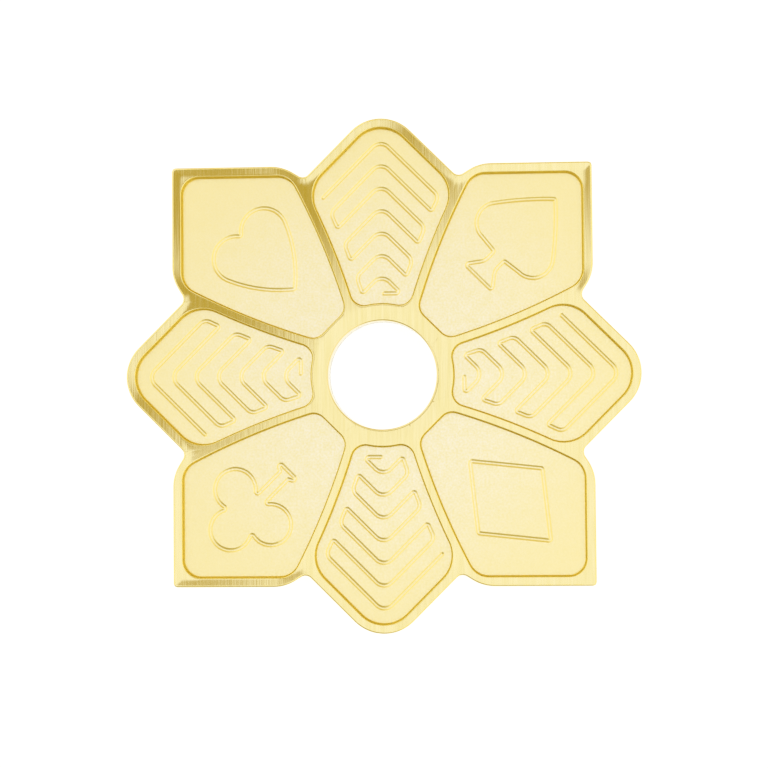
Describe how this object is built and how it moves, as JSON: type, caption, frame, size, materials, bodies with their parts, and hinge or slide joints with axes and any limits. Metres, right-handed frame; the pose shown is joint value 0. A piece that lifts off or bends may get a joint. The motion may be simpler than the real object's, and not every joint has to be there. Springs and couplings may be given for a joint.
{
  "type": "dealer button",
  "caption": "Flat brass dealer button: a petalled plate round a central hole, with recessed inlays engraved with card suits and zigzag lines of chevrons.",
  "frame": {"origin": "centre of the hole on the plain back face, on which the button lies", "axes": "+Z along the hole's axis, out of the patterned face; +Y towards the arrow petal between the heart and the spade; +X towards the arrow petal between the spade and the diamond"},
  "size_m": [0.06, 0.06, 0.004],
  "materials": {
    "brushed_brass": "brushed along Y",
    "blasted_brass": "fine bead blasted"
  },
  "bodies": {
    "root": {"body_plate": "brushed_brass", "heart_inlay": "blasted_brass", "spade_inlay": "blasted_brass", "diamond_inlay": "blasted_brass", "club_inlay": "blasted_brass", "north_chevron_inlay": "blasted_brass", "east_chevron_inlay": "blasted_brass", "south_chevron_inlay": "blasted_brass", "west_chevron_inlay": "blasted_brass"}
  },
  "joints": []
}
